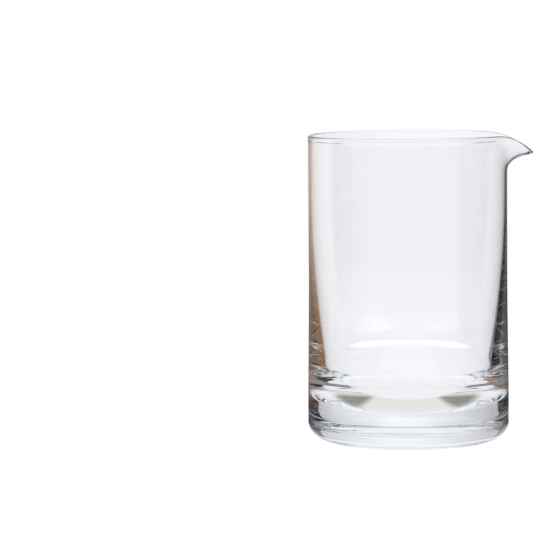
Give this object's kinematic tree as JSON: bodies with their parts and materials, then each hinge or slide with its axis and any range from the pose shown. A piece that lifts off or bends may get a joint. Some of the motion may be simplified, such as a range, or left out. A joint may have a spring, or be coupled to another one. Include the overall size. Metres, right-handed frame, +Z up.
{
  "type": "mixing glass",
  "caption": "Straight-sided clear mixing glass for stirred drinks, with a thick heavy base, a fire-polished rim and one pouring lip.",
  "frame": {"origin": "centre of the ring that the glass stands on, on the axis of the round body, at table height", "axes": "+Z up along the body's axis, +X towards the pouring lip, +Y completing a right-handed frame"},
  "size_m": [0.1011, 0.09, 0.136],
  "materials": {
    "clear_glass": "clear, fire-polished, gloss"
  },
  "bodies": {
    "root": {"glass_vessel": "clear_glass"}
  },
  "joints": []
}
